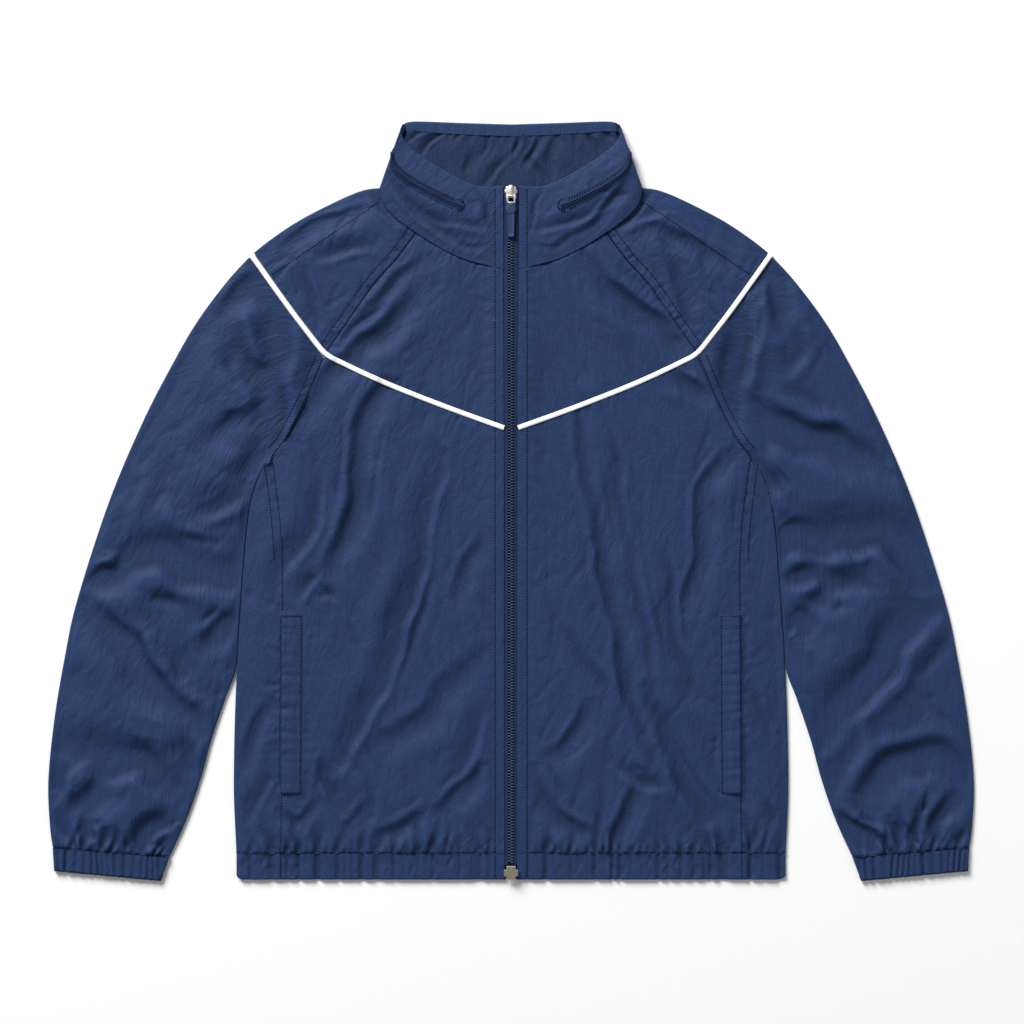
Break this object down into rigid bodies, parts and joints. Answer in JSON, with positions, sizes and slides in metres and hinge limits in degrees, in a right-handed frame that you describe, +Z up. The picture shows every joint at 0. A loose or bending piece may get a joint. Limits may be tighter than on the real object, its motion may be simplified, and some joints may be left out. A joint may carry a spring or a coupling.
{
  "type": "windbreaker jacket",
  "caption": "Thin woven windbreaker laid flat on its back: raglan sleeves, stand collar with a stowed hood, front zip, white piping and welt pockets.",
  "frame": {"origin": "under the middle of the laid jacket, on the surface that it lies on", "axes": "+X towards the wearer's left sleeve, +Y from the hem to the collar, +Z up out of the front"},
  "size_m": [0.9274, 0.76, 0.0142],
  "materials": {
    "shell": "navy nylon taffeta, plain weave, soft low sheen",
    "facing": "the same navy taffeta, in the shade inside the neck",
    "piping": "white flat piping, matte",
    "tape": "dark navy woven zip tape",
    "teeth": "dark navy moulded teeth",
    "grip": "navy soft grip",
    "steel": "bright plated zip slider",
    "nickel": "warm nickel retainer box"
  },
  "bodies": {
    "jacket": {"back": "shell", "hem_back": "shell", "collar": "shell", "front_lower_left": "shell", "front_upper_left": "shell", "yoke_front_left": "shell", "yoke_back_left": "shell", "side_panel_left": "shell", "sleeve_left": "shell", "cuff_left": "shell", "hem_front_left": "shell", "hem_side_left": "shell", "pocket_welt_left": "shell", "front_lower_right": "shell", "front_upper_right": "shell", "yoke_front_right": "shell", "yoke_back_right": "shell", "side_panel_right": "shell", "sleeve_right": "shell", "cuff_right": "shell", "hem_front_right": "shell", "hem_side_right": "shell", "pocket_welt_right": "shell", "collar_facing": "facing", "piping_front_left": "piping", "piping_sleeve_left": "piping", "piping_front_right": "piping", "piping_sleeve_right": "piping", "hood_zip": "tape", "zip_tape_left": "tape", "zip_tape_right": "tape", "zip_chain": "teeth", "zip_slider": "steel", "zip_box": "nickel"},
    "zip_pull": {"pull_link": "steel", "pull_grip": "grip"}
  },
  "joints": [
    {"name": "zip_pull_hinge", "type": "hinge", "parent": "jacket", "child": "zip_pull", "pos_m": [0, 0.30355, 0.0122], "axis": [-1, 0, 0], "range_deg": [0, 150]}
  ]
}
